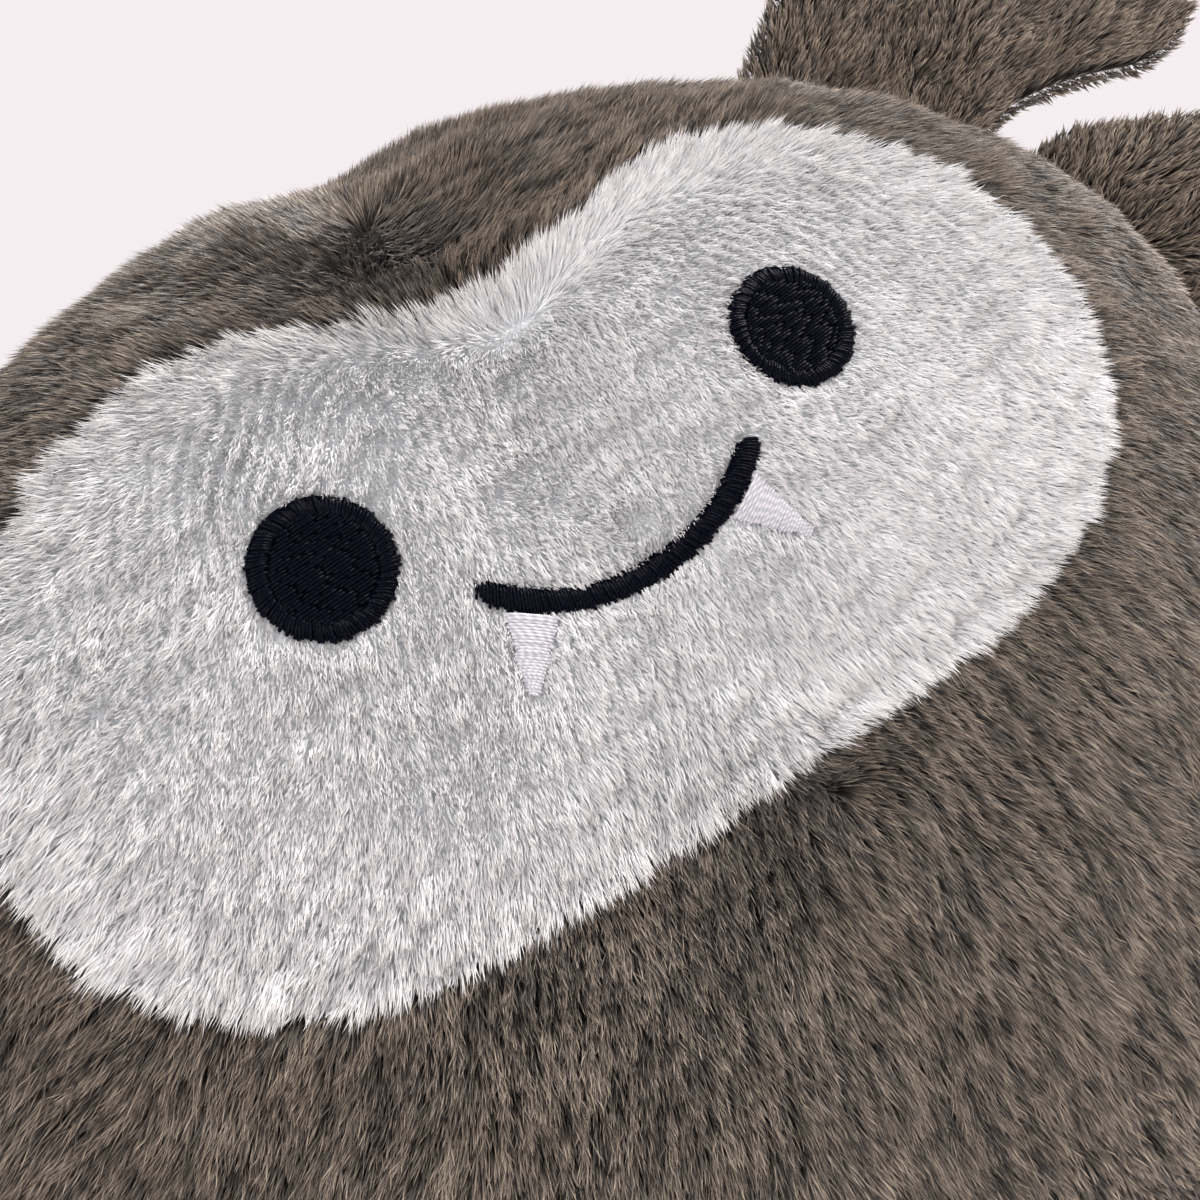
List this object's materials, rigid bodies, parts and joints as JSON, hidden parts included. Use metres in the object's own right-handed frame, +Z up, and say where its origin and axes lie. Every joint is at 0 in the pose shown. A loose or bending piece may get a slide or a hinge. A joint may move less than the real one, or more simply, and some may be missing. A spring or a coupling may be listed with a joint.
{
  "type": "fidget plush toy",
  "caption": "Stuffed bat to squeeze and fiddle with: bun-shaped dark plush body, pale inset face with stitched eyes, smile and fangs, floppy ears and wings.",
  "frame": {"origin": "middle of the flat base that the toy sits on", "axes": "+Z up, the face looks along -Y, and +X is the toy's own left"},
  "size_m": [0.3496, 0.1278, 0.2258],
  "materials": {
    "dark_plush": "short dense pile, dark warm grey",
    "pale_plush": "short dense pile, pale blue-grey",
    "black_thread": "glossy rayon embroidery thread, blue-black",
    "white_thread": "glossy rayon embroidery thread, white",
    "white_fibre": "loose polyester fibre",
    "pouch_cloth": "plain woven cloth over plastic pellets"
  },
  "bodies": {
    "body": {"body_front_panel": "dark_plush", "body_back_left_panel": "dark_plush", "body_back_right_panel": "dark_plush", "base_panel": "dark_plush", "fibre_filling": "white_fibre", "pellet_pouch": "pouch_cloth", "face_patch": "pale_plush", "eye_left_rim": "black_thread", "eye_left_middle": "black_thread", "eye_right_rim": "black_thread", "eye_right_middle": "black_thread", "fang_left": "white_thread", "fang_right": "white_thread", "smile": "black_thread"},
    "ear_left": {"ear_left_front": "dark_plush", "ear_left_back": "dark_plush"},
    "ear_right": {"ear_right_front": "dark_plush", "ear_right_back": "dark_plush"},
    "wing_left": {"wing_left_front": "dark_plush", "wing_left_back": "dark_plush", "wing_left_wadding": "white_fibre"},
    "wing_right": {"wing_right_front": "dark_plush", "wing_right_back": "dark_plush", "wing_right_wadding": "white_fibre"}
  },
  "joints": [
    {"name": "ear_left_fold", "type": "hinge", "parent": "body", "child": "ear_left", "pos_m": [0.07725, -0.0054, 0.171], "axis": [-0.7784, 0, 0.6277], "range_deg": [-25, 25], "stiffness_Nm_per_rad": 0.15},
    {"name": "ear_right_fold", "type": "hinge", "parent": "body", "child": "ear_right", "pos_m": [-0.07725, -0.0054, 0.171], "axis": [-0.7784, 0, -0.6277], "range_deg": [-25, 25], "stiffness_Nm_per_rad": 0.15},
    {"name": "wing_left_flap", "type": "hinge", "parent": "body", "child": "wing_left", "pos_m": [0.10188, -0.02352, 0.138], "axis": [-0.3194, 0, 0.9476], "range_deg": [-35, 25], "stiffness_Nm_per_rad": 0.15},
    {"name": "wing_right_flap", "type": "hinge", "parent": "body", "child": "wing_right", "pos_m": [-0.10188, -0.02352, 0.138], "axis": [-0.3194, 0, -0.9476], "range_deg": [-35, 25], "stiffness_Nm_per_rad": 0.15}
  ]
}
